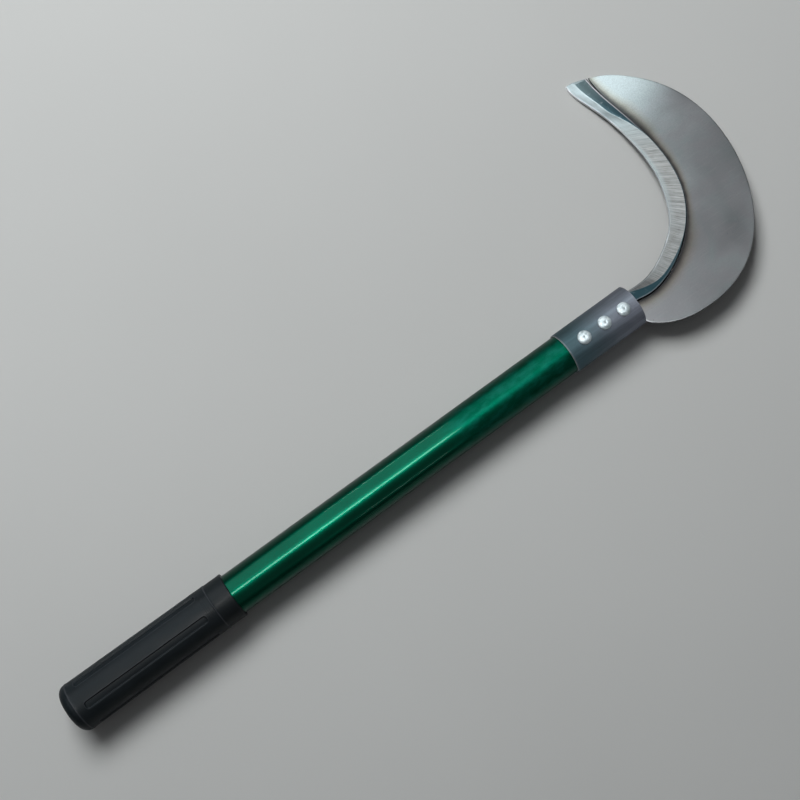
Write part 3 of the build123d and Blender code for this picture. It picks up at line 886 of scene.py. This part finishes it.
def make_strip():
    """Thick cutting strip: honed edge, ground bevel, top left in its forged scale, rolled back edge."""
    stations = strip_stations()
    edge, back, heel = EDGE_LINE.at(stations), BACK_LINE.at(stations), bevel_width(stations)
    width = np.linalg.norm(back - edge, axis=1)
    way = (back - edge) / width[:, None]
    drop = np.minimum(STRIP_THICKNESS - EDGE_LAND, STEEPEST_BEVEL * heel)
    along = travelled(edge)
    roll = np.interp(along, [0, 110, 128, 142], [1.1, 1.0, 0.9, 0.55])
    rows = np.array([strip_section(*sizes) for sizes in zip(width, heel, drop, roll)])
    across, height, ground, rim, honed, wall = np.moveaxis(rows, 2, 0)
    inward = along[:, None] + 0 * across
    across = round_tip(across, inward, width)
    facet = tip_facet(across, inward, width)
    top_side = height > UNDERSIDE + 0.5
    height = np.where(top_side, np.minimum(height, STRIP_TOP - facet), height)
    ground = np.where(top_side, np.maximum(ground, smooth_step(0.0, 0.12, facet)), ground)
    plan = edge[:, None, :] + way[:, None, :] * across[:, :, None]
    points = np.concatenate([plan, height[:, :, None]], axis=2).reshape(-1, 3)
    bevel = ((ground > 0.5) & (honed < 0.1)).ravel()
    points[:, 2] -= 0.03 * bevel - waves(points, 3, 9.0) * 0.03 * bevel
    # Painted highlight on the rounded back edge, strong at the tip and faint along the middle.
    rim_highlight = np.interp(inward, [0, 18, 33, 50, 138, 155], [1.0, 1.0, 0.7, 0.05, 0.05, 0.1])
    # Painted highlight on the honed edge, fading away from the tip.
    edge_highlight = 0.35 + 0.65 * (1 - smooth_step(25.0, 85.0, inward))
    values = {
        "grain": np.stack([(inward + 0.12 * across).ravel(), across.ravel(), points[:, 2]], axis=1),
        "ground": ground.ravel(), "rim": (rim * rim_highlight).ravel(), "wall": wall.ravel(),
        "honed": (honed * edge_highlight).ravel(),
    }
    faces = bar_faces(*rows.shape[:2])
    return make_piece("cutting_strip_ground", points, faces, strip_look(),
                      ["cutting_strip"], values, sharp=28.0)


def plate_outline():
    """Closed outline of the plate with its tang, in order round the piece."""
    stations = np.linspace(0, 17 / 18, 260)
    gap = SEAM_GAP + TIP_NOTCH * np.clip(1 - stations / NOTCH_REACH, 0, None) ** 2
    inner = beside_back(stations, gap)
    notch_y = inner[-1][1] - SEAM_GAP
    notch_x = STRIP_TAIL - TAIL_GAP
    tang = [
        OUTER_LINE.points[-1], (SLEEVE_END, -ROOT_HALF_WIDTH), (TANG_SHOULDER, -ROOT_HALF_WIDTH),
        (TANG_SHOULDER, -TANG_HALF_WIDTH), (TANG_START, -TANG_HALF_WIDTH), (TANG_START, TANG_HALF_WIDTH),
        (notch_x, TANG_HALF_WIDTH), (notch_x, notch_y), (TANG_SHOULDER, notch_y), inner[-1],
    ]
    outer = OUTER_LINE.at(np.linspace(0, 1, 300))
    join = subdivided([inner[0], outer[0]], 0.4)
    return np.concatenate([outer[:-1], subdivided(tang, 1.2)[:-1], inner[::-1][:-1], join[:-1]])


def inset(loop, distance):
    """The loop moved towards its inside."""
    first = unit(loop - np.roll(loop, 1, axis=0))
    way = unit(first + unit(np.roll(loop, -1, axis=0) - loop))
    inward = np.stack([way[:, 1], -way[:, 0]], axis=1)
    stretch = np.clip(np.einsum("ij,ij->i", way, first), 0.6, 1.0)
    return loop + inward * (distance / stretch)[:, None]


def inside(points, loop):
    """Which points lie inside the closed loop."""
    x, y = points[:, 0][:, None], points[:, 1][:, None]
    a, b = loop, np.roll(loop, -1, axis=0)
    crosses = (a[:, 1] > y) != (b[:, 1] > y)
    with np.errstate(divide="ignore", invalid="ignore"):
        cut = (b[:, 0] - a[:, 0]) * (y - a[:, 1]) / (b[:, 1] - a[:, 1]) + a[:, 0]
    return (crosses & (x < cut)).sum(axis=1) % 2 == 1


def distance_to(points, line):
    """Distance of each point from a polyline."""
    a, d = line[:-1], np.diff(line, axis=0)
    best = np.full(len(points), 1e9)
    for start, way in zip(a, d):
        t = np.clip((points - start) @ way / (way @ way), 0, 1)
        best = np.minimum(best, np.linalg.norm(points - start - t[:, None] * way, axis=1))
    return best


def plate_fill(loop, joint):
    """Points inside the plate's outline, in rows along the joint where the border of burn and painted shade
    needs them.
    """
    rng = np.random.default_rng(SEED + 20)
    rows = [inset(loop, 0.8)[::2]]
    for reach in (1.2, 1.9, 2.8, 4.0, 5.5, 7.5, 10.0):
        rows.append(beside_back(np.linspace(0, 0.93, 90), np.full(90, reach)))
    step, shake, clear_of_rows = 3.0, 0.6, 11.0
    x, y = np.meshgrid(np.arange(372, 516, step), np.arange(-27, 134, step))
    grid = np.stack([x.ravel(), y.ravel()], axis=1) + rng.uniform(-shake, shake, (x.size, 2))
    rows.append(grid[distance_to(grid, joint) > clear_of_rows])
    fill = np.concatenate(rows)
    return fill[inside(fill, inset(loop, 0.55))]


def triangulated(ring, fill):
    """Points and triangles over the inside of a closed ring, and where the ring's points are in them."""
    count = len(ring)
    sides = [(k, (k + 1) % count) for k in range(count)]
    found = delaunay_2d_cdt([Vector(p) for p in np.concatenate([ring, fill])], sides, [], 0, 1e-5, True)
    sheet = np.array([tuple(p) for p in found[0]])
    place_of = {min(sources): k for k, sources in enumerate(found[3]) if sources}
    corners = np.array([tuple(face) for face in found[2]])
    corners = corners[inside(sheet[corners].mean(axis=1), ring)]
    return sheet, [tuple(face) for face in corners], [place_of[k] for k in range(count)]


def plate_values(points, loop, joint):
    """What the plate's material needs: distance from the joint, worn edge, spots, the pale patch of painted
    reflection, and the spread of burn and painted shade.
    """
    side = distance_to(points[:, :2], np.vstack([loop, loop[:1]]))
    from_glare = np.hypot(points[:, 0] - GLARE_MIDDLE[0], points[:, 1] - GLARE_MIDDLE[1])
    return {
        "from_joint": distance_to(points[:, :2], joint),
        "edge": (1 - smooth_step(0.05, 0.3, side)) * 0.4,
        "spots": 1 - smooth_step(403.0, 409.0, points[:, 0]),
        # Pale patch near the tip: painted reflection.
        "pale": 1 - smooth_step(GLARE_INNER, GLARE_OUTER, from_glare),
        # Spread of the burn and painted shade beside the joint, by distance from the handle's axis.
        "soot_and_shade": np.interp(points[:, 1], *zip(*SOOT_AND_SHADE_FADE)),
    }


def make_plate():
    """Crescent of sheet steel with broken edges, faintly warped, with the tang that goes into the tube."""
    loop = plate_outline()
    joint = BACK_LINE.at(np.linspace(0, 1, 120))
    sheet, triangles, ring = triangulated(inset(loop, PLATE_ROUNDING), plate_fill(loop, joint))
    warp = waves(sheet, 21, 45.0) * PLATE_WARP
    top, bottom = PLATE_TOP - PLATE_WARP, UNDERSIDE + PLATE_WARP
    layers = [np.column_stack([sheet, top + warp]), np.column_stack([sheet, bottom + warp])]
    quarter = [(1 - sin(a), 1 - cos(a)) for a in np.radians((30, 60, 90))]
    bands = [(out, top + warp[ring] - PLATE_ROUNDING * down) for out, down in quarter]
    bands += [(out, bottom + warp[ring] + PLATE_ROUNDING * up) for out, up in reversed(quarter)]
    layers += [np.column_stack([inset(loop, PLATE_ROUNDING * out), level]) for out, level in bands]
    points = np.concatenate(layers)
    size, count = len(sheet), len(ring)
    faces = triangles + [tuple(size + k for k in reversed(face)) for face in triangles]
    rings = [ring]
    rings += [[2 * size + band * count + k for k in range(count)] for band in range(len(bands))]
    rings.append([size + k for k in ring])
    for upper, lower in zip(rings[:-1], rings[1:]):
        for k in range(count):
            n = (k + 1) % count
            faces.append((upper[k], upper[n], lower[n], lower[k]))
    return make_piece("blade_plate_sheet", points, faces, plate_look(), ["blade_plate"],
                      plate_values(points, loop, joint), sharp=28.0)


# ---------- welds


def make_seam_weld(material):
    """Rippled bead along the underside of the joint."""
    half_width, height, pitch = 1.38, 0.69, 1.9
    stations = np.linspace(0.07, 0.86, 420)
    along = travelled(BACK_LINE.at(stations))
    ripple = 0.86 + 0.14 * np.abs(np.sin(along * pi / pitch + 0.6 * np.sin(along / 5)))
    ends = np.sqrt(np.clip(np.minimum(along, along[-1] - along) / 1.4, 0.02, 1))
    turns = np.radians(np.linspace(0, 180, 13))
    rows = []
    for t, swell in zip(stations, ripple * ends):
        across = half_width * np.cos(turns) * (0.5 + 0.5 * swell)
        down = height * np.sin(turns) * swell
        place = beside_back(np.full(len(turns), t), across)
        rows.append(np.column_stack([place, UNDERSIDE - down]))
    return make_piece("seam_weld_bead", np.concatenate(rows), bar_faces(len(rows), len(turns)), material,
                      ["seam_weld"])


def dress_cad_nodes(weld, pin):
    """Better materials for the small CAD pieces that stay as they are."""
    for name, node in frame["nodes"].items():
        if "mouth_weld" in name or "mandrel" in name:
            material = weld if "weld" in name else pin
            node.data.materials.clear()
            node.data.materials.append(material)


# ---------- stage, light and camera

CAMERA_PLACE = (-0.08817, -0.13406, 0.70564)
CAMERA_TURN = 36.193
CAMERA_TILT = 11.5
CAMERA_LENS = 54.0
LOOK_AT = (0.0, -0.03, 0.0)
DAYLIGHT = (0.96, 0.99, 1.0)


def make_floor():
    """Plain pale floor."""
    side = 6.0
    mesh = bpy.data.meshes.new("floor")
    corners = [(-side, -side, 0), (side, -side, 0), (side, side, 0), (-side, side, 0)]
    mesh.from_pydata(corners, [], [(0, 1, 2, 3)])
    look = Look("floor_pale", roughness=0.85, specular_ior_level=0.15)
    soft = look.noise(look.object_place(), 3.0, 3, 0.5)
    look.drive(base_color=look.ramp(soft, [(0.3, (0.70, 0.70, 0.685)), (0.7, (0.73, 0.73, 0.715))]))
    mesh.materials.append(look.material)
    floor = new_object("floor", mesh)


def make_camera():
    """Camera above the tool, tilted and turned as the picture was taken."""
    turn, tilt = radians(CAMERA_TURN), radians(CAMERA_TILT)
    right = Vector((cos(turn), -sin(turn), 0))
    level = Vector((sin(turn), cos(turn), 0))
    back = Vector((0, 0, cos(tilt))) - level * sin(tilt)
    up = level * cos(tilt) + Vector((0, 0, sin(tilt)))
    data = bpy.data.cameras.new("camera")
    data.lens = CAMERA_LENS
    data.sensor_width = 36.0
    data.clip_start = 0.01
    camera = new_object("camera", data)
    camera.matrix_world = Matrix.Translation(CAMERA_PLACE) @ Matrix((right, up, back)).transposed().to_4x4()
    bpy.context.scene.camera = camera


def add_light(name, size, radiance, colour, place, lamp=False, plain=False):
    """Rectangular area light facing down its own -z. Radiance is what a mirror would show.

    A lamp is seen in reflections only, and a plain light lights without being reflected.
    """
    data = bpy.data.lights.new(name, "AREA")
    data.shape = "RECTANGLE"
    data.size, data.size_y = size
    data.energy = radiance * pi * size[0] * size[1]
    data.color = colour
    light = new_object(name, data)
    light.matrix_world = place
    light.visible_camera = False
    light.visible_diffuse = not lamp
    light.visible_glossy = not plain


def make_light(name, toward, distance, size, radiance, colour=(1, 1, 1)):
    """Lamp seen from the object in a direction, facing it."""
    direction = Vector(toward).normalized()
    turn = direction.to_track_quat("Z", "Y").to_matrix().to_4x4()
    place = Matrix.Translation(Vector(LOOK_AT) + direction * distance) @ turn
    add_light(name, size, radiance, colour, place, True)


def make_panel(name, height, across, along, radiance, colour=(1, 1, 1), lamp=False, plain=False):
    """Level panel overhead, its sides parallel to the picture's, given by its reach each way."""
    turn = Matrix.Rotation(-radians(CAMERA_TURN), 4, "Z")
    middle = Vector((sum(across) / 2, sum(along) / 2, height))
    size = (across[1] - across[0], along[1] - along[0])
    place = Matrix.Translation(LOOK_AT) @ turn @ Matrix.Translation(middle)
    add_light(name, size, radiance, colour, place, lamp, plain)


def make_lights():
    """Soft light from the upper left, two long lamps for the shine on the tube, and a dim room."""
    make_panel("soft_box", 1.25, (-1.9, 0.26), (0.05, 2.2), 2.45, DAYLIGHT, lamp=True)
    make_panel("key_box", 1.25, (-0.95, -0.1), (0.35, 1.3), 9.1, DAYLIGHT, plain=True)
    make_panel("dim_ceiling", 1.3, (-2.5, 2.5), (-2.5, 2.5), 0.26, lamp=True)
    make_light("ceiling_lamp", (-0.01, 0.0, 1.0), 2.2, (0.25, 0.74), 38.0, (1.0, 1.0, 0.98))
    make_light("far_strip", (0.07, 0.92, 0.38), 2.6, (0.42, 0.05), 60.0)
    make_light("near_strip", (0.07, -0.915, 0.405), 2.6, (0.30, 0.04), 22.0)
    world = bpy.data.worlds.new("room")
    bpy.context.scene.world = world
    world.use_nodes = True
    background = world.node_tree.nodes["Background"]
    background.inputs["Color"].default_value = (0.95, 0.97, 1.0, 1.0)
    background.inputs["Strength"].default_value = 0.07
    bpy.context.scene.view_settings.view_transform = "Standard"


# ---------- build

make_camera()
make_lights()
make_floor()
make_tube()
make_sleeve()
make_grip()
rivet_material = rivet_look()
for number, station in enumerate(RIVET_STATIONS, start=1):
    make_rivet(number, station, rivet_material)
make_strip()
make_plate()
weld_material = weld_look()
make_seam_weld(weld_material)
dress_cad_nodes(weld_material, pin_look())
